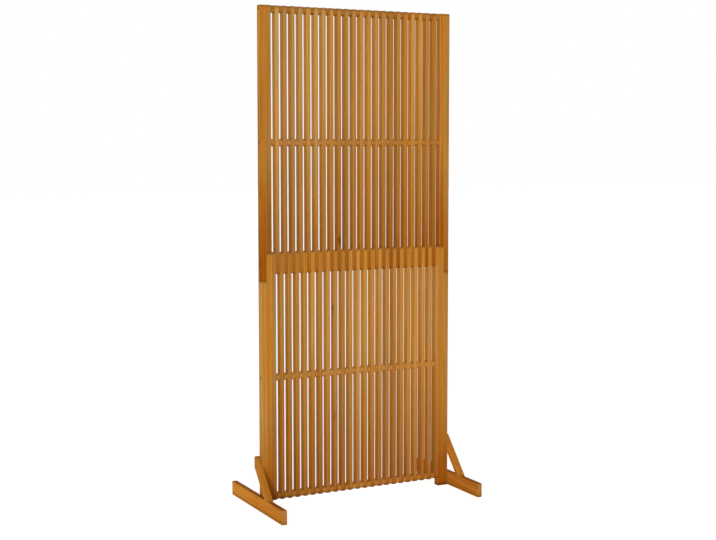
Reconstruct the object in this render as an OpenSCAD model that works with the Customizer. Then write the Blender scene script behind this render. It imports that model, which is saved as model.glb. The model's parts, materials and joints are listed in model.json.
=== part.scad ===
// Free-standing slatted privacy screen: two slatted panels, one above the other, on a pair of feet.
// X runs across the screen, Y from its front (-Y) to its back and Z up from the ground.
// The origin is on the ground, midway between the feet. Sizes are in millimetres.

/* [Overall] */
// Width over the outer faces of the two feet
overall_w = 815; // [814:1:840]
// Height from the ground to the top of the posts and upper slats
overall_h = 1800; // [1600:10:2000]
// Length of the feet, from front to back
overall_d = 460; // [360:10:600]

/* [Posts and legs] */
// Width of a post or leg, glued up from two strips side by side
post_w = 42; // [36:1:42]
// Depth of posts, legs and slats, which are flush front and back
panel_d = 26; // [20:1:28]
// Height of the legs' shoulders, which the upper posts stand on
shoulder_h = 925; // [850:5:1000]
// Height over which a post's outer strip laps a leg's inner strip
post_lap = 100; // [80:5:120]

/* [Slats] */
// Number of slats in the lower panel; the upper panel has one less
lower_slats = 23; // [21:1:23]
// Width of one slat
slat_w = 15.2; // [12:0.1:15.2]
// Height of the lower slats' tops
lower_slat_top = 927; // [850:1:1000]
// Height over which the two panels' slats stand between each other like two combs
slat_lap = 77; // [60:1:90]
// Clear height under the lower slats
ground_gap = 29; // [20:1:30]
// Radius of the eased long edges
edge_r = 0.8; // [0.4:0.2:2]

/* [Spacers] */
// Diameter of the spacers, which are slices of a round bar lying along X
spacer_d = 26; // [20:1:28]
// Height of the middle spacer row of the lower panel
lower_row_z = 476; // [350:1:600]
// Height of the middle spacer row of the upper panel
upper_row_z = 1318; // [1100:1:1450]

/* [Feet and braces] */
// Height of a foot
foot_h = 52; // [45:1:60]
// Thickness of a foot and of the brace above it
foot_t = 20; // [18:1:20]
// Radius of the eased long edges of a foot
foot_edge_r = 2.4; // [1:0.2:4]
// Height of a brace's top corner
brace_top = 192; // [180:1:230]
// Width of a brace, square to its slope
brace_w = 27; // [24:1:32]
// Slope of a brace above the horizontal
brace_angle = 48.5; // [44:0.5:52]

/* [Hardware] */
// Radius of the tie rods and of the screws' shanks
rod_r = 3; // [2.5:0.5:3]
// Radius of the sleeve nuts' and screws' heads
head_r = 4.7; // [4.4:0.1:5]
// Length of a screw under its head
screw_l = 50; // [40:1:50]

/* [Hidden] */
$fn = 48;
arc_fn = 24;
hex_fn = 6;
overlap = 1;
upper_slats = lower_slats - 1;

inner_half = overall_w / 2 - foot_t - post_w;
post_half = inner_half + post_w;
strip_w = post_w / 2;
pitch = (2 * inner_half + slat_w) / lower_slats;
gap_w = pitch - slat_w;

lower_slat_z = ground_gap;
upper_slat_z = lower_slat_top - slat_lap;
lap_z = shoulder_h - post_lap;

spacer_r = spacer_d / 2;
bottom_row_z = lower_slat_z + spacer_r;
top_row_z = overall_h - spacer_r;
joint_row_z = upper_slat_z + slat_lap / 2;
row_heights = [bottom_row_z, lower_row_z, joint_row_z, upper_row_z, top_row_z];
lower_rows = [bottom_row_z, lower_row_z, joint_row_z];
upper_rows = [joint_row_z, upper_row_z, top_row_z];

brace_back = panel_d / 2;
brace_slope = tan(brace_angle);
brace_plumb = brace_w / cos(brace_angle);
brace_drop = brace_top - foot_h;
brace_toe_y = brace_back - brace_drop / brace_slope;
brace_heel_y = brace_back - (brace_drop - brace_plumb) / brace_slope;
brace_screw_z = brace_top - brace_slope * brace_back - brace_plumb / 2;
foot_screw_z = 16;
toe_screw_y = brace_heel_y - 11;
toe_screw_z = 18;

rod_bore_r = rod_r + 0.2;
head_bore_r = head_r + 0.3;
head_recess = 2;
head_t = 3;
sleeve_r = 4;
sleeve_bore_r = sleeve_r + 0.1;
sleeve_l = 12;
sleeve_bore_l = sleeve_l + 1;
rod_end_in = 8;
socket_r = 2.3;
socket_depth = 2.5;
screw_head_t = 4;
screw_recess = 3;
pilot_bore_r = rod_r;
screw_tip_room = 1;

wood_tones = ["#b9782f", "#a8661f", "#c08438", "#9c5a1c", "#b06c24", "#c68d42", "#a25f22"];
tone_step = 3;
post_tone = "#b5701f";
leg_tone = "#bd7d33";
foot_tone = "#b8772c";
steel_tone = "#8c8f93";

// A slat's number as two digits, for its name
function two_digits(i) = str(i < 10 ? "0" : "", i);
function slat_name(panel, i) = str(panel, "_slat_", two_digits(i));
function slat_x(i, count) = (i - (count + 1) / 2) * pitch;
function slat_tone(i) = wood_tones[(i * tone_step) % len(wood_tones)];

// Rectangle about the origin with eased corners
module eased_rect(w, d, r) {
    square([w - 2 * r, d], center = true);
    square([w, d - 2 * r], center = true);
    for (sx = [-1, 1], sy = [-1, 1])
        translate([sx * (w / 2 - r), sy * (d / 2 - r)])
            circle(r, $fn = arc_fn);
}

// Upright bar with eased long edges
module upright(x, w, z0, z1) {
    translate([x, 0, z0])
        linear_extrude(z1 - z0)
            eased_rect(w, panel_d, edge_r);
}

// Cylinder along X from x0 to x1, for a round piece or a hole
module cross_cylinder(r, x0, x1, y, z) {
    translate([x0, y, z])
        rotate([0, 90, 0])
            cylinder(r = r, h = x1 - x0);
}

// Stepped hole for one sleeve nut, entering at face_x and running towards the middle of the screen
module nut_bore(face_x, z) {
    step = head_recess + head_t;
    cross_cylinder(head_bore_r, face_x - step, face_x + overlap, 0, z);
    cross_cylinder(sleeve_bore_r, face_x - step - sleeve_bore_l, face_x, 0, z);
    cross_cylinder(rod_bore_r, 0, face_x, 0, z);
}

// Stepped hole for one screw, entering at face_x
module screw_bore(face_x, y, z) {
    step = screw_recess + screw_head_t;
    cross_cylinder(head_bore_r, face_x - step, face_x + overlap, y, z);
    cross_cylinder(pilot_bore_r, face_x - step - screw_l - screw_tip_room, face_x, y, z);
}

// Pieces are drawn for the right side; side = -1 gives the left one
module on_side(side) {
    if (side > 0)
        children();
    else
        mirror([1, 0, 0]) children();
}

// Upper post: its outer strip reaches down past the leg's shoulder
module upper_post(side) {
    color(post_tone)
        on_side(side)
            difference() {
                union() {
                    upright(inner_half + post_w / 2, post_w, shoulder_h, overall_h);
                    upright(post_half - strip_w / 2, strip_w, lap_z, shoulder_h + overlap);
                }
                for (z = upper_rows)
                    nut_bore(post_half, z);
            }
}

// Leg: its inner strip reaches up beside the upper post's outer strip
module leg(side) {
    color(leg_tone)
        on_side(side)
            difference() {
                union() {
                    upright(inner_half + post_w / 2, post_w, 0, lap_z);
                    upright(inner_half + strip_w / 2, strip_w, lap_z - overlap, shoulder_h);
                }
                cross_cylinder(rod_bore_r, 0, post_half + overlap, 0, bottom_row_z);
                nut_bore(post_half, lower_row_z);
                cross_cylinder(rod_bore_r, 0, post_half, 0, joint_row_z);
                screw_bore(post_half + foot_t, 0, foot_screw_z);
                screw_bore(post_half + foot_t, 0, brace_screw_z);
            }
}

module slat(i, count, z0, z1, rows) {
    x = slat_x(i, count);
    color(slat_tone(i))
        difference() {
            upright(x, slat_w, z0, z1);
            for (z = rows)
                cross_cylinder(rod_bore_r, x - slat_w, x + slat_w, 0, z);
        }
}

module upper_slat(i) {
    slat(i, upper_slats, upper_slat_z, overall_h, upper_rows);
}

module lower_slat(i) {
    slat(i, lower_slats, lower_slat_z, lower_slat_top, lower_rows);
}

// One round spacer, drilled for the tie rod
module spacer(x, z) {
    difference() {
        cross_cylinder(spacer_r, x - gap_w / 2, x + gap_w / 2, 0, z);
        cross_cylinder(rod_bore_r, x - gap_w, x + gap_w, 0, z);
    }
}

// A row of spacers, one in each gap; the upper panel has as many gaps as the lower one has slats
module spacer_row(gaps, z) {
    color(wood_tones[0])
        for (i = [1 : gaps])
            spacer(slat_x(i, gaps), z);
}

module foot(side) {
    color(foot_tone)
        on_side(side)
            difference() {
                translate([post_half + foot_t / 2, overall_d / 2, foot_h / 2])
                    rotate([90, 0, 0])
                        linear_extrude(overall_d)
                            eased_rect(foot_t, foot_h, foot_edge_r);
                nut_bore(post_half + foot_t, bottom_row_z);
                screw_bore(post_half + foot_t, 0, foot_screw_z);
                toe_screw_bore();
            }
}

// Hole up through the foot into the brace's toe
module toe_screw_bore() {
    translate([post_half + foot_t / 2, toe_screw_y, -overlap]) {
        cylinder(r = head_bore_r, h = toe_screw_z + overlap);
        cylinder(r = pilot_bore_r, h = toe_screw_z + screw_l + screw_tip_room + overlap);
    }
}

// Brace: plumb cut flush with the leg's back face, level cut on the foot
module brace(side) {
    color(foot_tone)
        on_side(side)
            difference() {
                translate([post_half, 0, 0])
                    rotate([90, 0, 90])
                        linear_extrude(foot_t)
                            polygon([
                                [brace_back, brace_top],
                                [brace_toe_y, foot_h],
                                [brace_heel_y, foot_h],
                                [brace_back, brace_top - brace_plumb]
                            ]);
                screw_bore(post_half + foot_t, 0, brace_screw_z);
                toe_screw_bore();
            }
}

// The bottom rod also passes through both feet
module tie_rods() {
    color(steel_tone)
        for (z = row_heights) {
            end_x = (z == bottom_row_z ? post_half + foot_t : post_half) - rod_end_in;
            cross_cylinder(rod_r, -end_x, end_x, 0, z);
        }
}

// Sleeve nut with a hexagon socket, its axis along X
module sleeve_nut(face_x, z) {
    head_x = face_x - head_recess;
    step_x = head_x - head_t;
    difference() {
        union() {
            cross_cylinder(head_r, step_x, head_x, 0, z);
            cross_cylinder(sleeve_r, step_x - sleeve_l, step_x + overlap, 0, z);
        }
        cross_cylinder(rod_r, step_x - sleeve_l - overlap, face_x - rod_end_in, 0, z);
        hex_socket(head_x, z);
    }
}

module hex_socket(head_x, z) {
    translate([head_x - socket_depth, 0, z])
        rotate([0, 90, 0])
            cylinder(r = socket_r, h = socket_depth + overlap, $fn = hex_fn);
}

module sleeve_nuts() {
    color(steel_tone)
        for (side = [-1, 1], z = row_heights)
            on_side(side)
                sleeve_nut(z == bottom_row_z ? post_half + foot_t : post_half, z);
}

// Socket-head screw along Z, its head's underside at the origin and its tip above
module screw() {
    difference() {
        union() {
            translate([0, 0, -screw_head_t])
                cylinder(r = head_r, h = screw_head_t);
            cylinder(r = rod_r, h = screw_l);
        }
        translate([0, 0, -screw_head_t - overlap])
            cylinder(r = socket_r, h = socket_depth + overlap, $fn = hex_fn);
    }
}

// Each side has one screw through the foot, one through the brace and one up into the brace's toe
module foot_screws() {
    seat_x = post_half + foot_t - screw_recess - screw_head_t;
    color(steel_tone)
        for (side = [-1, 1])
            on_side(side) {
                for (z = [foot_screw_z, brace_screw_z])
                    translate([seat_x, 0, z])
                        rotate([0, -90, 0])
                            screw();
                translate([post_half + foot_t / 2, toe_screw_y, toe_screw_z])
                    screw();
            }
}

upper_post(-1);  // upper_post_left
upper_post(1);  // upper_post_right
leg(-1);  // leg_left
leg(1);  // leg_right
for (i = [1 : upper_slats])
    upper_slat(i);
for (i = [1 : lower_slats])
    lower_slat(i);
spacer_row(lower_slats, top_row_z);  // top_spacers
spacer_row(lower_slats, upper_row_z);  // upper_middle_spacers
spacer_row(upper_slats, lower_row_z);  // lower_middle_spacers
spacer_row(upper_slats, bottom_row_z);  // bottom_spacers
foot(-1);  // foot_left
foot(1);  // foot_right
brace(-1);  // brace_left
brace(1);  // brace_right
tie_rods();
sleeve_nuts();
foot_screws();
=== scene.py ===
import json
import math
import random

import bmesh
import bpy
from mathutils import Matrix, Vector


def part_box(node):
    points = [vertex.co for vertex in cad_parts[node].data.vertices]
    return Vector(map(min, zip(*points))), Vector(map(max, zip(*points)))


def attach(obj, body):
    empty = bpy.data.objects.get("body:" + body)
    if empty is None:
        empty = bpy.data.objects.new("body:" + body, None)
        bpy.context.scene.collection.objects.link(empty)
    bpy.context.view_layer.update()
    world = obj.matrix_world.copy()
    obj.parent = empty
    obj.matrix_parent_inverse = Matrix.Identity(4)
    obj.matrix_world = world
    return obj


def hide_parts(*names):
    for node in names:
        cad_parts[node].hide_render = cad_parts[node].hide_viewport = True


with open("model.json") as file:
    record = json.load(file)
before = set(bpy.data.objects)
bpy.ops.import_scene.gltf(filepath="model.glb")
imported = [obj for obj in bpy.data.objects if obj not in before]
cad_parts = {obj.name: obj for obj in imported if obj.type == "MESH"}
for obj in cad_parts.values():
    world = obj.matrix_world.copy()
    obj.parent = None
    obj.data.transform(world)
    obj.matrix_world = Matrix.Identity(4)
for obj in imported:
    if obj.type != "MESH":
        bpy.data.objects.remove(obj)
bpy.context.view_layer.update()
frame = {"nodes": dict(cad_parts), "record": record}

MM = 0.001
X_AXIS, Y_AXIS, Z_AXIS = Vector((1, 0, 0)), Vector((0, 1, 0)), Vector((0, 0, 1))

# Stock and joinery
SLAT_EASE = 0.4 * MM
POST_EASE = 0.8 * MM
FOOT_EASE = 2.4 * MM
BRACE_EASE = 1.6 * MM
SPACER_EASE = 0.3 * MM
SPACER_SIDES = 48
SAWN_END_EASE = 0.6 * MM
FOOT_END_EASE = 1.6 * MM
GLUE_LINE_EASE = 0.35 * MM

# How many steps an eased edge is rounded in
EASE_STEPS = 3
FOOT_EASE_STEPS = 4
FINE_EASE_STEPS = 2
CHAMFER = 1

# Holes: each row's rod, its sleeve nuts, and the screws through feet and braces
ROD_BORE_R = 3.2 * MM
NUT_SEAT_R = 5.0 * MM
NUT_SEAT_DEEP = 5.0 * MM
SLEEVE_BORE_R = 4.1 * MM
SLEEVE_BORE_DEEP = 18.0 * MM
SCREW_SEAT_DEEP = 7.0 * MM
PILOT_R = 3.0 * MM
PILOT_DEEP = 58.0 * MM
FOOT_SCREW_Z = 16.0 * MM
TOE_SEAT_DEEP = 18.0 * MM
TOE_PILOT_DEEP = 69.0 * MM
TOE_SCREW_IN = 11.0 * MM
RIM_EASE = 0.4 * MM
BORE_SIDES = 32

# How far a drill starts outside a face, and how close two places are when they count as one
CLEAR = 1 * MM
TOUCHING = 0.01 * MM
RIM_SLACK = 0.05 * MM
WELD = 0.001 * MM

# Faces that meet at less than this many degrees look like one surface
SMOOTH_BELOW = 40
FACE_WEIGHT = 100

# From these cosines up, two directions are parallel, a face is an end face, and a face is flat, not eased
PARALLEL = 0.999
END_FACING = 0.8
FLAT_FACING = 0.995

# Boards are cut from logs, clear of the core, so each one starts somewhere else in the grain
LOG_REACH = 0.09
LOG_CORE_SHARE = 0.3
LOG_SAWN_SHARE = 0.7
LOG_LENGTH = 40.0
chance = random.Random(20)


def block(name, low, high):
    """A cuboid between two corners, with its place in its mesh."""
    bpy.ops.object.select_all(action="DESELECT")
    low, high = Vector(low), Vector(high)
    bpy.ops.mesh.primitive_cube_add(size=1, location=(low + high) / 2, scale=high - low)
    piece = bpy.context.object
    piece.name = piece.data.name = name
    bpy.ops.object.transform_apply(location=True, rotation=True, scale=True)
    return piece


def pick_only(piece):
    """Leaves one piece selected and active."""
    bpy.ops.object.select_all(action="DESELECT")
    piece.select_set(True)
    bpy.context.view_layer.objects.active = piece


def ease(piece, chosen, radius, steps=EASE_STEPS):
    """Rounds the edges that chosen picks from their two ends."""
    pick_only(piece)
    bpy.ops.object.mode_set(mode="EDIT")
    bpy.ops.mesh.select_mode(type="EDGE")
    bpy.ops.mesh.select_all(action="DESELECT")
    shape = bmesh.from_edit_mesh(piece.data)
    for edge in shape.edges:
        if chosen(edge.verts[0].co, edge.verts[1].co):
            edge.select_set(True)
    bmesh.update_edit_mesh(piece.data)
    bpy.ops.mesh.bevel(offset=radius, offset_type="OFFSET", segments=steps, profile=0.5, affect="EDGES")
    bpy.ops.object.mode_set(mode="OBJECT")


def runs_along(axis, least=4 * MM):
    """Picks the long edges that lie along an axis."""
    return lambda a, b: (b - a).length > least and abs((b - a).normalized().dot(axis)) > PARALLEL


def on_plane(axis, place, slack=TOUCHING):
    """Picks the edges that lie in the plane square to an axis at a place along it."""
    return lambda a, b: abs(a.dot(axis) - place) < slack and abs(b.dot(axis) - place) < slack


def ease_ends(piece, axis, ends, radius, steps=FINE_EASE_STEPS):
    """Rounds the edges round a piece's end faces."""
    for end in ends:
        ease(piece, on_plane(axis, end), radius, steps)


def round_bar(radius, start, end, sides):
    """A cylinder between two points."""
    start, end = Vector(start), Vector(end)
    bpy.ops.object.select_all(action="DESELECT")
    turn = Z_AXIS.rotation_difference(end - start).to_euler()
    bpy.ops.mesh.primitive_cylinder_add(
        vertices=sides,
        radius=radius,
        depth=(end - start).length,
        location=(start + end) / 2,
        rotation=turn,
    )
    return bpy.context.object


def bore(piece, radius, start, end):
    """Drills a round hole between two points."""
    drill = round_bar(radius, start, end, BORE_SIDES)
    pick_only(piece)
    cut = piece.modifiers.new("hole", "BOOLEAN")
    cut.operation = "DIFFERENCE"
    cut.solver = "EXACT"
    cut.object = drill
    bpy.ops.object.modifier_apply(modifier=cut.name)
    bpy.data.objects.remove(drill)


def ease_rim(piece, centre, axis, radius):
    """Takes the sharp edge off a hole's mouth."""

    def on_rim(a, b):
        for end in (a, b):
            off = end - centre
            above = off.dot(axis)
            if abs(above) > TOUCHING or abs((off - axis * above).length - radius) > RIM_SLACK:
                return False
        return True

    ease(piece, on_rim, RIM_EASE, FINE_EASE_STEPS)


def finish_faces(piece):
    """Smooth eased edges between flat faces, with every face pointing outwards."""
    pick_only(piece)
    bpy.ops.object.mode_set(mode="EDIT")
    bpy.ops.mesh.select_all(action="SELECT")
    bpy.ops.mesh.remove_doubles(threshold=WELD)
    bpy.ops.mesh.normals_make_consistent(inside=False)
    bpy.ops.object.mode_set(mode="OBJECT")
    bpy.ops.object.shade_smooth_by_angle(angle=math.radians(SMOOTH_BELOW))
    even = piece.modifiers.new("even", "WEIGHTED_NORMAL")
    even.keep_sharp = True
    even.weight = FACE_WEIGHT
    bpy.ops.object.modifier_apply(modifier=even.name)


def lay_grain(piece, along, across, tone, warmth, rise_from, rise_to, meshed=0.0, turned=False, spare=0.0):
    """Writes where each point lies in its board, for the wood's pattern.

    grain holds the place in the log.
    board holds the board's tone and warmth, and how far up it the point is.
    rim holds how far the point is from the board's two ends, with some to spare where they have no dark rim,
    and which way its meshed end lies (1 down, -1 up, 0 for no such end).
    cut tells sawn end faces, eased edges (none on a turned piece) and faces that look across the screen,
    which take the side faces' painted shade and sheen.
    """
    through = along.cross(across)
    corners = [point.co for point in piece.data.vertices]
    low = Vector([min(c[i] for c in corners) for i in range(3)])
    high = Vector([max(c[i] for c in corners) for i in range(3)])
    middle = (low + high) / 2
    ends = [c.dot(along) for c in corners]
    foot, length = min(ends), max(ends) - min(ends)
    turn = chance.uniform(0, 2 * math.pi)
    reach = LOG_REACH * (LOG_CORE_SHARE + LOG_SAWN_SHARE * chance.random())
    place = Vector((reach * math.cos(turn), reach * math.sin(turn), chance.uniform(0, LOG_LENGTH)))
    grain = piece.data.attributes.new("grain", "FLOAT_VECTOR", "POINT")
    board = piece.data.attributes.new("board", "FLOAT_VECTOR", "POINT")
    rim = piece.data.attributes.new("rim", "FLOAT_VECTOR", "POINT")
    for at, c in enumerate(corners):
        off = c - middle
        grain.data[at].vector = place + Vector((off.dot(across), off.dot(through), off.dot(along)))
        up = (ends[at] - foot) / length
        board.data[at].vector = (tone, warmth, rise_from + (rise_to - rise_from) * up)
        rim.data[at].vector = (length * up + spare, length * (1 - up) + spare, meshed)
    cut = piece.data.attributes.new("cut", "FLOAT_VECTOR", "FACE")
    for at, face in enumerate(piece.data.polygons):
        facing = [abs(face.normal.dot(way)) for way in (along, across, through)]
        end_grain = 1.0 if facing[0] > END_FACING else 0.0
        eased = 0.0 if turned or max(facing) > FLAT_FACING else 1.0
        cut.data[at].vector = (end_grain, eased, abs(face.normal.x))


def copy_of(piece, name):
    """A second piece like this one, with its own mesh."""
    twin = piece.copy()
    twin.data = piece.data.copy()
    twin.name = twin.data.name = name
    bpy.context.scene.collection.objects.link(twin)
    return twin


def shift(piece, by):
    """Moves a piece within its mesh, so that its object stays at the origin."""
    for point in piece.data.vertices:
        point.co += by


def join(pieces, name):
    """Makes one piece of several."""
    bpy.ops.object.select_all(action="DESELECT")
    for piece in pieces:
        piece.select_set(True)
    bpy.context.view_layer.objects.active = pieces[0]
    bpy.ops.object.join()
    whole = bpy.context.object
    whole.name = whole.data.name = name
    return whole


def stand_for(piece, node, finish):
    """Puts a finished piece in the place of its CAD node, with the finish that the record names."""
    slot = slot_of[node]
    piece.data.materials.clear()
    piece.data.materials.append(finish[slot])
    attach(piece, "root")
    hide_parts(node)


class Nodes:
    """A node tree, with short calls for the nodes that the finishes and the studio use."""

    def __init__(self, tree):
        self.tree = tree

    def add(self, kind, links=None, **settings):
        made = self.tree.nodes.new("ShaderNode" + kind)
        for key, value in settings.items():
            setattr(made, key, value)
        for socket, source in (links or {}).items():
            self.feed(made.inputs[socket], source)
        return made

    def feed(self, socket, source):
        if isinstance(source, bpy.types.NodeSocket):
            self.tree.links.new(source, socket)
        else:
            socket.default_value = source

    def attribute(self, name):
        return self.add("Attribute", attribute_name=name, attribute_type="GEOMETRY").outputs["Vector"]

    def split(self, vector):
        return self.add("SeparateXYZ", {0: vector}).outputs

    def math(self, way, a, b=0.5, c=0.0):
        return self.add("Math", {0: a, 1: b, 2: c}, operation=way).outputs[0]

    def vector(self, way, a, b):
        return self.add("VectorMath", {0: a, 1: b}, operation=way).outputs[0]

    def scaled(self, a, by):
        return self.add("VectorMath", {0: a, "Scale": by}, operation="SCALE").outputs[0]

    def noise(self, place, scale, detail, rough=0.5):
        """Noise drawn at a scale of its own in each direction."""
        stretched = self.vector("MULTIPLY", place, scale)
        links = {"Vector": stretched, "Scale": 1.0, "Detail": detail, "Roughness": rough}
        return self.add("TexNoise", links).outputs

    def ramp(self, value, low, high, out_low=0.0, out_high=1.0, way="SMOOTHSTEP"):
        links = {"Value": value, "From Min": low, "From Max": high, "To Min": out_low, "To Max": out_high}
        return self.add("MapRange", links, interpolation_type=way).outputs["Result"]

    def tinted(self, a, tint):
        return self.vector("MULTIPLY", a, tint)

    def mix(self, factor, a, b, way="MIX"):
        made = self.add("Mix", data_type="RGBA", blend_type=way)
        for at, source in ((0, factor), (6, a), (7, b)):
            self.feed(made.inputs[at], source)
        return made.outputs[2]


class Finish(Nodes):
    """A material's nodes, round the shader that it starts with."""

    def __init__(self, name):
        self.material = bpy.data.materials.new(name)
        self.material.use_nodes = True
        super().__init__(self.material.node_tree)
        self.shader = self.tree.nodes["Principled BSDF"]


def srgb(red, green, blue):
    """A colour as a paint chart gives it, 0 to 255, in linear light."""
    parts = [part / 255 for part in (red, green, blue)]
    return tuple(p / 12.92 if p <= 0.04045 else ((p + 0.055) / 1.055) ** 2.4 for p in parts) + (1.0,)


# What the wood's colour is multiplied by: on richer and paler boards, low down, where the panels mesh,
# on side faces (painted shade on the slats', painted sheen on the posts' and legs') and on sawn ends
RICHER = (1.06, 0.86, 0.5)
PALER = (0.97, 1.07, 1.55)
LOW_ON_SLAT = (0.74, 0.57, 0.42)
LOW_ON_POST = (0.74, 0.53, 0.24)
MESHED_UPPER = (0.99, 0.91, 0.56)
MESHED_LOWER = (1.0, 0.86, 0.63)
# Painted shade on the slats' side faces in the gaps: richer and less blue
SLAT_SIDE_PAINTED_SHADE = (1.0, 1.01, 0.78)
# Painted sheen on the posts' and legs' side faces: paler and bluer, as white light reflected at a grazing
# angle
POST_SIDE_PAINTED_SHEEN = (0.9, 1.14, 2.0)
SAWN_END = (0.72, 0.7, 0.7)
# The feet's sawn ends are paler and greyer: partly their end grain, partly painted light spilt on them
FOOT_END = (0.92, 1.1, 2.0)
PLAIN = (1.0, 1.0, 1.0)

# How far up a board its low tint reaches, from full to none
SLAT_LIFT = (0.0, 0.62)
POST_LIFT = (0.08, 0.42)
EVEN_LIFT = (0.0, 1.0)

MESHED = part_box("lower_slat_01")[1].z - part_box("upper_slat_01")[0].z
MESHED_FADE = 5 * MM
MESHED_RIM_SHARE = 0.62
# Painted contact shadow on feet and legs: full at the first height above the ground, gone at the second
GROUND_SHADE_FROM, GROUND_SHADE_TO = 7 * MM, 17 * MM

# How finely each part of the wood's pattern is drawn: its scale across the grain both ways and along it,
# then the noise's detail and, where it isn't the usual one, roughness
SWAY = ((16, 16, 1.3), 2.0)
STREAKS = ((240, 240, 2.0), 4.0, 0.6)
FIBRES = ((1500, 1500, 32), 3.0, 0.65)
PORES = ((2600, 2600, 110), 1.0)
CLOUDS = ((28, 28, 1.6), 2.0)
DRIFT = ((36, 36, 2.6), 1.0)
RUBBING = ((300, 300, 45), 2.0)
KNOT_CELLS = (23, 23, 9)
SWAY_REACH = (0.012, 0.012, 0.0)
RING_SCALE = 62.0
RING_TAPER = 0.004

# What streaks, rings and fibres add to the figure, and where in it the pale colour turns to the deep one
STREAK_SHARE = 0.75
RING_SHARE = 0.16
FIBRE_SHARE = 0.22
FIGURE_TURN = (0.36, 0.74)

KNOT_HALO = srgb(142, 76, 26)
KNOT_EYE = srgb(74, 36, 14)
DARKEST_TONE = 0.84
TONE_SPAN = 0.28
PORE_SHADE = 0.45

# Where in its pattern each change starts and ends, and what it comes to at the one and at the other
HALO_FADE = (0.08, 0.3, 0.5, 0.0)
EYE_FADE = (0.05, 0.12, 0.7, 0.0)
WARMTH_DRIFT = (0.3, 0.7, -0.18, 0.18)
CLOUD_SHADE = (0.3, 0.7, 0.94, 1.05)
RIM_FADE = (0.3, 1.0, 1.0, 0.0)
PORE_OPENING = (0.62, 0.74, 0.0, 0.45)
RUBBED_SHADE = (0.4, 0.62, 0.82, 1.12)
WOOD_ROUGHNESS = (0.3, 0.7, 0.7, 0.84)

# The surface: its gloss, how much rougher sawn ends are, and how far fibres rise and pores sink
GLOSS = 0.02
END_ROUGHER = 0.1
RELIEF_STRENGTH = 0.35
RELIEF_HEIGHT = 0.25 * MM
PORE_RELIEF = -1.2


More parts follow.
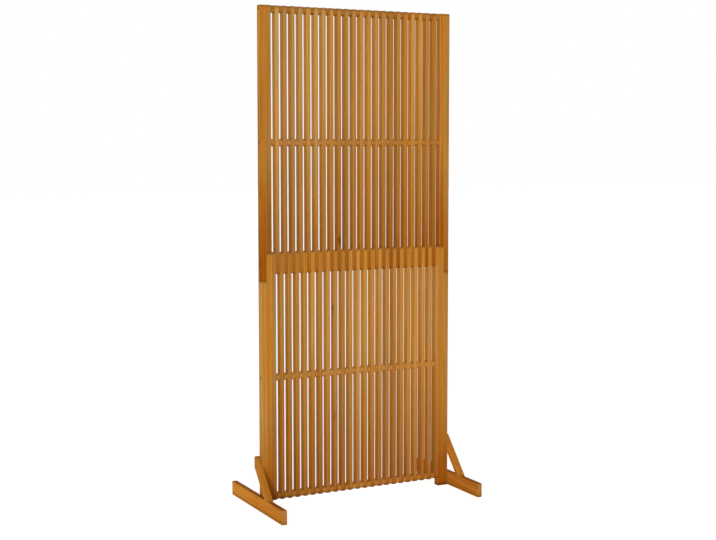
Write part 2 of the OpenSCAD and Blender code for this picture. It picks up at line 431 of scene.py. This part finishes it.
def oiled_hardwood(name, pale, deep, low, lift, **changed):
    """Oiled hardwood: growth rings, long streaks, open pores, a few small knots and worn edges."""
    usual = {
        "knots": 0.07,
        "side": PLAIN,
        "end_shade": SAWN_END,
        "rim_width": 4 * MM,
        "rim_shade": 0.8,
        "damp_shade": 1.0,
    }
    look = usual | changed
    wood = Finish(name)
    grain = wood.attribute("grain")
    tone, warmth, rise = wood.split(wood.attribute("board"))
    end_grain, eased, painted_side_mask = wood.split(wood.attribute("cut"))

    # The fibres wander a little, and the rings taper up the log
    sway = wood.vector("SUBTRACT", wood.noise(grain, *SWAY)["Color"], (0.5, 0.5, 0.5))
    lay = wood.vector("ADD", grain, wood.vector("MULTIPLY", sway, SWAY_REACH))
    height = wood.split(grain)[2]
    taper = wood.add("CombineXYZ", {0: wood.math("MULTIPLY", height, RING_TAPER)}).outputs[0]
    rings = wood.add(
        "TexWave",
        {"Vector": wood.vector("ADD", lay, taper), "Scale": RING_SCALE, "Distortion": 0.0},
        wave_type="RINGS",
        rings_direction="Z",
        wave_profile="SIN",
    ).outputs["Fac"]
    streaks = wood.noise(lay, *STREAKS)["Fac"]
    fibre = wood.noise(lay, *FIBRES)["Fac"]
    figure = wood.math("MULTIPLY_ADD", streaks, STREAK_SHARE, wood.math("MULTIPLY", rings, RING_SHARE))
    figure = wood.math("MULTIPLY_ADD", fibre, FIBRE_SHARE, figure)
    colour = wood.mix(wood.ramp(figure, *FIGURE_TURN), pale, deep)

    # Knots: few of the cells have one, a dark eye in a reddish halo
    cell = wood.add("TexVoronoi", {"Vector": wood.vector("MULTIPLY", lay, KNOT_CELLS), "Scale": 1.0})
    there = wood.math("GREATER_THAN", wood.split(cell.outputs["Color"])[0], 1.0 - look["knots"])
    far = cell.outputs["Distance"]
    halo = wood.math("MULTIPLY", wood.ramp(far, *HALO_FADE), there)
    eye = wood.math("MULTIPLY", wood.ramp(far, *EYE_FADE), there)
    colour = wood.mix(halo, colour, KNOT_HALO)
    colour = wood.mix(eye, colour, KNOT_EYE)

    # Each board has its own tone, and all are paler and yellower at the top than at the bottom
    drift = wood.ramp(wood.noise(lay, *DRIFT)["Fac"], *WARMTH_DRIFT)
    warmth = wood.math("ADD", warmth, drift)
    colour = wood.mix(warmth, wood.tinted(colour, RICHER), wood.tinted(colour, PALER))
    lifted = wood.ramp(rise, lift[0], lift[1], 0.0, 1.0, "LINEAR")
    colour = wood.mix(lifted, wood.tinted(colour, low), colour)
    colour = wood.scaled(colour, wood.math("MULTIPLY_ADD", tone, TONE_SPAN, DARKEST_TONE))
    colour = wood.scaled(colour, wood.ramp(wood.noise(lay, *CLOUDS)["Fac"], *CLOUD_SHADE))

    # Where the panels mesh, the slats' ends are tinted richer. All ends have a dark rim, a narrower one
    # there;
    # at the spacers' ends, where they touch the slats, the rim is painted shade.
    from_low, from_high, meshed = wood.split(wood.attribute("rim"))
    rims = []
    for reach, flag, tint in ((from_low, 1.0, MESHED_UPPER), (from_high, -1.0, MESHED_LOWER)):
        here = wood.math("COMPARE", meshed, flag, 0.5)
        inside = wood.math("MULTIPLY", wood.ramp(reach, MESHED - MESHED_FADE, MESHED, 1.0, 0.0), here)
        colour = wood.mix(inside, colour, wood.tinted(colour, tint))
        width = wood.ramp(here, 0.0, 1.0, look["rim_width"], look["rim_width"] * MESHED_RIM_SHARE, "LINEAR")
        rims.append(wood.ramp(wood.math("DIVIDE", reach, width), *RIM_FADE))
    # Painted light on side faces: painted shade on the slats', painted sheen on the posts' and legs'
    colour = wood.mix(painted_side_mask, colour, wood.tinted(colour, look["side"]))

    # Open pores, dark sawn ends, and edges that are dark with oil or rubbed paler
    pore = wood.ramp(wood.noise(lay, *PORES)["Fac"], *PORE_OPENING)
    colour = wood.mix(pore, colour, wood.scaled(colour, PORE_SHADE))
    colour = wood.mix(end_grain, colour, wood.tinted(colour, look["end_shade"]))
    rim = wood.math("MULTIPLY", wood.math("MAXIMUM", *rims), wood.math("SUBTRACT", 1.0, end_grain))
    colour = wood.mix(rim, colour, wood.scaled(colour, look["rim_shade"]))
    rubbed = wood.ramp(wood.noise(grain, *RUBBING)["Fac"], *RUBBED_SHADE)
    colour = wood.mix(eased, colour, wood.scaled(colour, rubbed))

    # Painted contact shadow: feet and legs are darker just above the ground
    ground = wood.split(wood.add("TexCoord").outputs["Object"])[2]
    colour = wood.scaled(colour, wood.ramp(ground, GROUND_SHADE_FROM, GROUND_SHADE_TO, look["damp_shade"], 1.0))

    rough = wood.math("MULTIPLY_ADD", end_grain, END_ROUGHER, wood.ramp(fibre, *WOOD_ROUGHNESS))
    relief = wood.math("MULTIPLY_ADD", pore, PORE_RELIEF, fibre)
    bump = wood.add("Bump", {"Strength": RELIEF_STRENGTH, "Distance": RELIEF_HEIGHT, "Height": relief})
    wood.feed(wood.shader.inputs["Base Color"], colour)
    wood.feed(wood.shader.inputs["Roughness"], rough)
    wood.feed(wood.shader.inputs["Normal"], bump.outputs[0])
    wood.shader.inputs["Specular IOR Level"].default_value = GLOSS
    return wood.material


# The hardware's patterns: their scales and the noise's detail and roughness, then how they change it
ZINC_PATCHES = ((420, 420, 420), 3.0)
TARNISH = ((130, 130, 130), 4.0, 0.7)
TURNING_MARKS = ((5200, 700, 700), 2.0)
TARNISH_SPREAD = (0.45, 0.65, 0.0, 0.8)
ZINC_ROUGHNESS = (0.3, 0.7, 0.34, 0.52)
MARK_STRENGTH = 0.2
MARK_HEIGHT = 0.1 * MM


def zinc_steel_painted_shade(name):
    """Dark zinc plating, its darkness partly painted shade of the deep seats the heads sit in, with cloudy
    patches, fine turning marks and tarnish.
    """
    steel = Finish(name)
    place = steel.add("TexCoord").outputs["Object"]
    patches = steel.noise(place, *ZINC_PATCHES)["Fac"]
    tarnish = steel.ramp(steel.noise(place, *TARNISH)["Fac"], *TARNISH_SPREAD)
    marks = steel.noise(place, *TURNING_MARKS)["Fac"]
    # The dark zinc colours are partly painted shade, for the deep seats that the nut and screw heads sit in
    colour = steel.mix(patches, srgb(46, 43, 39), srgb(66, 63, 58))
    colour = steel.mix(tarnish, colour, srgb(34, 27, 21))
    rough = steel.ramp(patches, *ZINC_ROUGHNESS)
    bump = steel.add("Bump", {"Strength": MARK_STRENGTH, "Distance": MARK_HEIGHT, "Height": marks})
    steel.feed(steel.shader.inputs["Base Color"], colour)
    steel.feed(steel.shader.inputs["Roughness"], rough)
    steel.feed(steel.shader.inputs["Normal"], bump.outputs[0])
    steel.shader.inputs["Metallic"].default_value = 1.0
    return steel.material


slat_wood = {
    "slat_wood_light": (srgb(209, 162, 84), srgb(189, 134, 60)),
    "slat_wood_mid": (srgb(205, 156, 80), srgb(185, 128, 56)),
    "slat_wood_dark": (srgb(201, 150, 76), srgb(179, 122, 52)),
}
finish = {
    name: oiled_hardwood(
        name,
        pale,
        deep,
        LOW_ON_SLAT,
        SLAT_LIFT,
        side=SLAT_SIDE_PAINTED_SHADE,
        rim_width=14 * MM,
        rim_shade=0.7,
    )
    for name, (pale, deep) in slat_wood.items()
}
finish["post_wood"] = oiled_hardwood(
    "post_wood",
    srgb(210, 150, 64),
    srgb(182, 116, 39),
    LOW_ON_POST,
    POST_LIFT,
    side=POST_SIDE_PAINTED_SHEEN,
    rim_width=11 * MM,
    rim_shade=0.74,
)
finish["leg_wood"] = oiled_hardwood(
    "leg_wood",
    srgb(215, 158, 71),
    srgb(191, 128, 48),
    LOW_ON_POST,
    POST_LIFT,
    side=POST_SIDE_PAINTED_SHEEN,
    rim_width=11 * MM,
    rim_shade=0.74,
    damp_shade=0.68,
)
# The spacers keep the usual narrow dark rim at their ends: painted shade where they touch the slats
finish["spacer_wood"] = oiled_hardwood(
    "spacer_wood", srgb(216, 158, 72), srgb(192, 126, 47), LOW_ON_SLAT, EVEN_LIFT
)
finish["foot_wood"] = oiled_hardwood(
    "foot_wood",
    srgb(217, 155, 60),
    srgb(189, 119, 40),
    LOW_ON_POST,
    EVEN_LIFT,
    knots=0.0,
    end_shade=FOOT_END,
    rim_width=12 * MM,
    damp_shade=0.66,
)
finish["hardware_steel"] = zinc_steel_painted_shade("hardware_steel")
slot_of = {part["node"]: part["material_slot"] for part in frame["record"]["subparts"]}


def slats_of(panel):
    """The names of a panel's slats, from left to right."""
    return sorted(node for node in slot_of if node.startswith(panel + "_slat_"))


# Heights of the five rod rows, and the outer faces that their nuts sit in
row_z = {
    name: (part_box(name + "_spacers")[0].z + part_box(name + "_spacers")[1].z) / 2
    for name in ("top", "upper_middle", "lower_middle", "bottom")
}
row_z["joint"] = (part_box("upper_slat_01")[0].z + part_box("lower_slat_01")[1].z) / 2
post_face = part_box("upper_post_right")[1].x
foot_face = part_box("foot_right")[1].x
leg_low, leg_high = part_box("leg_right")
post_low, post_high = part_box("upper_post_right")
glue_line = (leg_low.x + leg_high.x) / 2
panel_back = leg_high.y

# The brace's section and screw places, from the corners of its CAD node
brace_low, brace_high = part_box("brace_right")
brace_slope = math.atan2(brace_high.z - brace_low.z, brace_high.y - brace_low.y)
brace_corners = [point.co for point in frame["nodes"]["brace_right"].data.vertices]
brace_back_low = min(corner.z for corner in brace_corners if corner.y > brace_high.y - TOUCHING)
brace_width = (brace_high.z - brace_back_low) * math.cos(brace_slope)
brace_screw_z = (brace_high.z + brace_back_low) / 2 - brace_high.y * math.tan(brace_slope)
toe_screw_y = brace_low.y + brace_width / math.sin(brace_slope) - TOE_SCREW_IN


def strip(name, side, far_x, z_from, z_to):
    """One of the two upright strips that a post is glued up from, between the glue line and a face."""
    left, right = sorted((side * glue_line, side * far_x))
    piece = block(name, (left, -panel_back, z_from), (right, panel_back, z_to))
    on_glue = on_plane(X_AXIS, side * glue_line)
    upright = runs_along(Z_AXIS)
    ease(piece, lambda a, b: upright(a, b) and not on_glue(a, b), POST_EASE)
    ease(piece, lambda a, b: upright(a, b) and on_glue(a, b), GLUE_LINE_EASE, CHAMFER)
    ease_ends(piece, Z_AXIS, (z_from, z_to), SAWN_END_EASE)
    return piece


def seat(piece, face_x, z, deep, shank_r, shank_deep):
    """A stepped hole for a nut or screw head, entering at an outer face."""
    side = math.copysign(1, face_x)
    mouth = (face_x + side * CLEAR, 0, z)
    bore(piece, NUT_SEAT_R, mouth, (face_x - side * deep, 0, z))
    bore(piece, shank_r, mouth, (face_x - side * shank_deep, 0, z))
    ease_rim(piece, Vector((face_x, 0, z)), X_AXIS, NUT_SEAT_R)


def nut_seat(piece, face_x, z):
    """A sleeve nut's seat, with the rod's bore right through the piece."""
    seat(piece, face_x, z, NUT_SEAT_DEEP, SLEEVE_BORE_R, SLEEVE_BORE_DEEP)
    rod_bore(piece, z)


def screw_seat(piece, face_x, z):
    """A screw's seat in a foot or brace, with its hole right through the piece."""
    seat(piece, face_x, z, SCREW_SEAT_DEEP, PILOT_R, foot_face - post_face + CLEAR)


def rod_bore(piece, z):
    """A rod's bore, right through a piece."""
    low = min(corner[0] for corner in piece.bound_box) - CLEAR
    high = max(corner[0] for corner in piece.bound_box) + CLEAR
    bore(piece, ROD_BORE_R, (low, 0, z), (high, 0, z))


def upright_grain(piece, tone, warmth, meshed=0.0):
    """Grain that runs up a piece, from its foot to its top."""
    lay_grain(piece, Z_AXIS, X_AXIS, tone, warmth, 0.0, 1.0, meshed=meshed)


# Tone and warmth of each post's outer strip, then of its inner strip
STRIP_SHADES = {
    "upper_post_left": ((0.1, 0.1), (0.0, 0.85)),
    "upper_post_right": ((0.35, 0.95), (0.35, 0.1)),
    "leg_left": ((0.5, 0.45), (0.3, 0.25)),
    "leg_right": ((0.1, 0.65), (0.25, 0.05)),
}


def glued_up(outer, inner, name):
    """A post from its two strips, each of its own wood."""
    for piece, (tone, warmth) in zip((outer, inner), STRIP_SHADES[name]):
        finish_faces(piece)
        upright_grain(piece, tone, warmth)
    return join([outer, inner], name)


def upper_post(side, name):
    """The outer strip reaches down past the leg's shoulder."""
    outer = strip(name, side, post_face, post_low.z, post_high.z)
    inner = strip(name + "_inner", side, leg_low.x, leg_high.z, post_high.z)
    for row in ("top", "upper_middle", "joint"):
        nut_seat(outer, side * post_face, row_z[row])
    for row in ("top", "upper_middle"):
        rod_bore(inner, row_z[row])
    return glued_up(outer, inner, name)


def leg(side, name):
    """The inner strip reaches up beside the upper post's outer strip."""
    outer = strip(name, side, post_face, leg_low.z, post_low.z)
    inner = strip(name + "_inner", side, leg_low.x, leg_low.z, leg_high.z)
    nut_seat(outer, side * post_face, row_z["lower_middle"])
    rod_bore(outer, row_z["bottom"])
    for row in ("lower_middle", "joint", "bottom"):
        rod_bore(inner, row_z[row])
    for z in (FOOT_SCREW_Z, brace_screw_z):
        tip = side * (foot_face - PILOT_DEEP)
        bore(outer, PILOT_R, (side * (foot_face + CLEAR), 0, z), (tip, 0, z))
        bore(inner, PILOT_R, (side * foot_face, 0, z), (tip, 0, z))
    return glued_up(outer, inner, name)


def first_slat(panel, rows):
    """The panel's first slat, drilled for its three rods. The others are copies of it."""
    low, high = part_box(panel + "_slat_01")
    piece = block(panel + "_slat_01", low, high)
    ease(piece, runs_along(Z_AXIS), SLAT_EASE)
    ease_ends(piece, Z_AXIS, (low.z, high.z), SAWN_END_EASE)
    for row in rows:
        rod_bore(piece, row_z[row])
    finish_faces(piece)
    return piece


# Each panel's warmth and tone: at the left post, and their change from there to the right one
SLAT_SHADES = {
    "upper": {"warmth": (0.97, -1.05), "tone": (0.55, -0.3)},
    "lower": {"warmth": (0.54, -0.2), "tone": (0.72, 0.0)},
}

# The lower panel's first few slats are darker, and every slat strays a little from its neighbours
DARK_SLATS_SHARE = 0.32
DARK_SLAT_TONE = 0.28
SLAT_TONE_STRAY = 0.14
SLAT_WARMTH_STRAY = 0.18


def slats(panel, rows):
    """All the slats of a panel, each of its own wood."""
    first = first_slat(panel, rows)
    names = slats_of(panel)
    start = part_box(names[0])[0]
    made = [first] + [copy_of(first, name) for name in names[1:]]
    for piece, name in zip(made, names):
        shift(piece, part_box(name)[0] - start)
        across = (piece.data.vertices[0].co.x + post_face) / (2 * post_face)
        warmth, tone = (left + change * across for left, change in SLAT_SHADES[panel].values())
        if panel == "lower" and across < DARK_SLATS_SHARE:
            tone = DARK_SLAT_TONE
        tone += chance.uniform(-SLAT_TONE_STRAY, SLAT_TONE_STRAY)
        warmth += chance.uniform(-SLAT_WARMTH_STRAY, SLAT_WARMTH_STRAY)
        upright_grain(piece, tone, warmth, 1.0 if panel == "upper" else -1.0)
        stand_for(piece, name, finish)


# Each row's spacers are slices of one round bar: its tone, and how far up the board it lay. They are
# a little richer towards the right, and darker where the lower panel's slats are.
SPACER_SHADES = {
    "top": (-0.05, 0.4),
    "upper_middle": (0.35, 0.8),
    "lower_middle": (0.8, 0.9),
    "bottom": (0.7, 0.5),
}
SPACER_TONE_STRAY = 0.2
DARK_SPACER_DROP = 0.35
SPACER_WARMTH = (0.5, 0.75)
SPACER_WARMTH_DROP = 0.1


def spacer_row(row):
    """One row of drilled slices of a round bar, with their grain across the screen."""
    name = row + "_spacers"
    low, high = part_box(name)
    panel = "upper" if row in ("top", "upper_middle") else "lower"
    names = slats_of(panel)
    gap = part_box(names[1])[0].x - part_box(names[0])[1].x
    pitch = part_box(names[1])[0].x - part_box(names[0])[0].x
    z = row_z[row]
    first = round_bar((high.z - low.z) / 2, (low.x, 0, z), (low.x + gap, 0, z), SPACER_SIDES)
    first.name = first.data.name = name
    bpy.ops.object.transform_apply(location=True, rotation=True, scale=True)
    ease_ends(first, X_AXIS, (low.x, low.x + gap), SPACER_EASE)
    rod_bore(first, z)
    finish_faces(first)
    count = round((high.x - low.x - gap) / pitch) + 1
    spacers = [first] + [copy_of(first, f"{name}_{at}") for at in range(1, count)]
    tone, rise = SPACER_SHADES[row]
    for at, piece in enumerate(spacers):
        shift(piece, Vector((at * pitch, 0, 0)))
        across = at / (count - 1)
        own_tone = tone + chance.uniform(-SPACER_TONE_STRAY, SPACER_TONE_STRAY)
        if panel == "lower" and across < DARK_SLATS_SHARE:
            own_tone -= DARK_SPACER_DROP
        warmth = chance.uniform(*SPACER_WARMTH) - SPACER_WARMTH_DROP * across
        lay_grain(piece, X_AXIS, Z_AXIS, own_tone, warmth, rise, rise, turned=True)
    stand_for(join(spacers, name), name, finish)


# Tone and warmth of feet and braces, and how far up their boards the two ends of each lay. A foot's
# ends have no dark rim.
FOOT_TONES = {"foot_left": 0.75, "foot_right": 0.2, "brace_left": 0.45, "brace_right": 0.6}
FOOT_WARMTH = 0.4
FOOT_RISE = (0.75, 1.0)
BRACE_RISE = (0.65, 1.0)
FOOT_RIM_SPARE = 50 * MM

# How much longer than its slope the bar is that a brace is cut from
BRACE_BAR_SHARE = 1.4


def foot(side, name):
    """A bar on edge, fastened to the leg's outer face."""
    low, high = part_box(name)
    piece = block(name, low, high)
    ease(piece, runs_along(Y_AXIS), FOOT_EASE, FOOT_EASE_STEPS)
    ease_ends(piece, Y_AXIS, (low.y, high.y), FOOT_END_EASE, EASE_STEPS)
    nut_seat(piece, side * foot_face, row_z["bottom"])
    screw_seat(piece, side * foot_face, FOOT_SCREW_Z)
    x = side * (post_face + foot_face) / 2
    bore(piece, NUT_SEAT_R, (x, toe_screw_y, -CLEAR), (x, toe_screw_y, TOE_SEAT_DEEP))
    bore(piece, PILOT_R, (x, toe_screw_y, -CLEAR), (x, toe_screw_y, high.z + CLEAR))
    finish_faces(piece)
    lay_grain(piece, Y_AXIS, Z_AXIS, FOOT_TONES[name], FOOT_WARMTH, *FOOT_RISE, spare=FOOT_RIM_SPARE)
    return piece


def brace(side, name):
    """A square-edged bar laid along its slope, then cut plumb at the back and level on the foot."""
    low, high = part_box(name)
    middle_x = (low.x + high.x) / 2
    along = Vector((0, high.y - low.y, high.z - low.z)).normalized()
    down = Vector((0, along.z, -along.y))
    length = BRACE_BAR_SHARE * (high - low).length
    centre = Vector((middle_x, (low.y + high.y) / 2, (low.z + high.z) / 2)) + down * (brace_width / 2)
    bpy.ops.object.select_all(action="DESELECT")
    bpy.ops.mesh.primitive_cube_add(
        size=1,
        location=centre,
        rotation=(math.atan2(along.z, along.y), 0, 0),
        scale=(high.x - low.x, length, brace_width),
    )
    piece = bpy.context.object
    piece.name = piece.data.name = name
    bpy.ops.object.transform_apply(location=True, rotation=True, scale=True)
    ease(piece, runs_along(along), BRACE_EASE)
    for place, outwards in (((middle_x, high.y, 0), (0, 1, 0)), ((middle_x, 0, low.z), (0, 0, -1))):
        bpy.ops.object.mode_set(mode="EDIT")
        bpy.ops.mesh.select_all(action="SELECT")
        bpy.ops.mesh.bisect(plane_co=place, plane_no=outwards, use_fill=True, clear_outer=True)
        bpy.ops.object.mode_set(mode="OBJECT")
    ease(piece, on_plane(Y_AXIS, high.y), SAWN_END_EASE, FINE_EASE_STEPS)
    ease(piece, on_plane(Z_AXIS, low.z), GLUE_LINE_EASE, CHAMFER)
    screw_seat(piece, side * foot_face, brace_screw_z)
    bore(piece, PILOT_R, (middle_x, toe_screw_y, low.z - CLEAR), (middle_x, toe_screw_y, TOE_PILOT_DEEP))
    finish_faces(piece)
    lay_grain(piece, along, X_AXIS, FOOT_TONES[name], FOOT_WARMTH, *BRACE_RISE)
    return piece


for side, way in ((-1, "left"), (1, "right")):
    stand_for(upper_post(side, "upper_post_" + way), "upper_post_" + way, finish)
    stand_for(leg(side, "leg_" + way), "leg_" + way, finish)
    stand_for(foot(side, "foot_" + way), "foot_" + way, finish)
    stand_for(brace(side, "brace_" + way), "brace_" + way, finish)
slats("upper", ("joint", "upper_middle", "top"))
slats("lower", ("bottom", "lower_middle", "joint"))
for row in ("top", "upper_middle", "lower_middle", "bottom"):
    spacer_row(row)

# The rods, nuts and screws keep their CAD shapes
for node in ("tie_rods", "sleeve_nuts", "foot_screws"):
    hardware = frame["nodes"][node]
    hardware.data.materials.clear()
    hardware.data.materials.append(finish["hardware_steel"])


# Studio
CAMERA_PLACE = (-2.2273, -4.3323, 1.3179)
CAMERA_YAW = 27.271
CAMERA_DOWN = 4.567
CAMERA_LENS = 66.591
CAMERA_SHIFT_Y = -0.03
CAMERA_SENSOR = 36
CAMERA_CLIP_END = 100

FLOOR_SIZE = 60
FLOOR_DROP = 0.3 * MM
FLOOR_GREY = (0.85, 0.85, 0.85, 1.0)
FLOOR_LIFT = 0.87

# Strength of the air's own light, level and from above, and how high up it has faded to that
AIR_LOW = 0.52
AIR_HIGH = 0.035
AIR_FADED = 0.35
WHITE = (1, 1, 1, 1)

# Azimuth, elevation, strength and spread of each soft lamp. Azimuth 0 is in front of the screen, and
# positive ones are to its right.
LAMP_AWAY = 6
LAMPS = {
    "key": (-34, 4.5, 2.3, 18),
    "fill": (42, 4, 0.84, 30),
    "left": (-78, 4, 0.95, 30),
    "right": (94, 5, 0.9, 30),
    "back_right": (135, 5, 1.6, 26),
    "back_left": (-140, 4, 0.85, 26),
}


def camera_sees(nodes):
    """1 for the rays that the camera sees by, in gloss and through glass too, and 0 for the rest."""
    rays = nodes.add("LightPath").outputs
    seen = nodes.math("MAXIMUM", rays["Is Camera Ray"], rays["Is Glossy Ray"])
    return nodes.math("MAXIMUM", seen, rays["Is Transmission Ray"])


def studio_floor():
    """A pale floor that the camera sees as white, apart from the object's shadow on it."""
    bpy.ops.object.select_all(action="DESELECT")
    bpy.ops.mesh.primitive_plane_add(size=FLOOR_SIZE, location=(0, 0, -FLOOR_DROP))
    floor = bpy.context.object
    floor.name = "studio_floor"
    bpy.ops.object.transform_apply(location=True, rotation=True, scale=True)
    paper = bpy.data.materials.new("white_paper")
    paper.use_nodes = True
    paper.node_tree.nodes.clear()
    nodes = Nodes(paper.node_tree)
    plain = nodes.add("BsdfDiffuse", {"Color": FLOOR_GREY}).outputs[0]
    lift = nodes.math("MULTIPLY", camera_sees(nodes), FLOOR_LIFT)
    glow = nodes.add("Emission", {"Strength": lift}).outputs[0]
    both = nodes.add("AddShader", {0: plain, 1: glow}).outputs[0]
    nodes.add("OutputMaterial", {"Surface": both})
    floor.data.materials.append(paper)


def studio_air():
    """Soft light from all round, weaker from above, behind a plain white background."""
    world = bpy.data.worlds.new("studio")
    bpy.context.scene.world = world
    world.use_nodes = True
    world.node_tree.nodes.clear()
    nodes = Nodes(world.node_tree)
    height = nodes.split(nodes.add("TexCoord").outputs["Generated"])[2]
    fading = nodes.ramp(height, 0.0, AIR_FADED, AIR_LOW, AIR_HIGH, "LINEAR")
    soft = nodes.add("Background", {"Strength": fading}).outputs[0]
    white = nodes.add("Background", {"Color": WHITE, "Strength": 1.0}).outputs[0]
    seen = nodes.add("MixShader", {0: camera_sees(nodes), 1: soft, 2: white}).outputs[0]
    nodes.add("OutputWorld", {"Surface": seen})


def softbox(name, azimuth, elevation, strength, spread):
    """A large distant lamp."""
    lamp = bpy.data.lights.new(name, "SUN")
    lamp.energy = strength
    lamp.angle = math.radians(spread)
    holder = bpy.data.objects.new(name, lamp)
    bpy.context.scene.collection.objects.link(holder)
    turn, up = math.radians(azimuth), math.radians(elevation)
    towards = Vector((math.sin(turn) * math.cos(up), -math.cos(turn) * math.cos(up), math.sin(up)))
    holder.location = towards * LAMP_AWAY
    holder.rotation_mode = "QUATERNION"
    holder.rotation_quaternion = towards.to_track_quat("Z", "Y")


def studio_camera():
    """The photograph's view, as near as a small shift allows."""
    bpy.ops.object.select_all(action="DESELECT")
    turn = (math.radians(90 - CAMERA_DOWN), 0, math.radians(-CAMERA_YAW))
    bpy.ops.object.camera_add(location=CAMERA_PLACE, rotation=turn)
    camera = bpy.context.object
    camera.name = "studio_camera"
    camera.data.sensor_width = CAMERA_SENSOR
    camera.data.lens = CAMERA_LENS
    camera.data.shift_y = CAMERA_SHIFT_Y
    camera.data.clip_end = CAMERA_CLIP_END
    bpy.context.scene.camera = camera


studio_floor()
studio_air()
for name, setting in LAMPS.items():
    softbox(name, *setting)
studio_camera()
bpy.context.scene.view_settings.view_transform = "Standard"
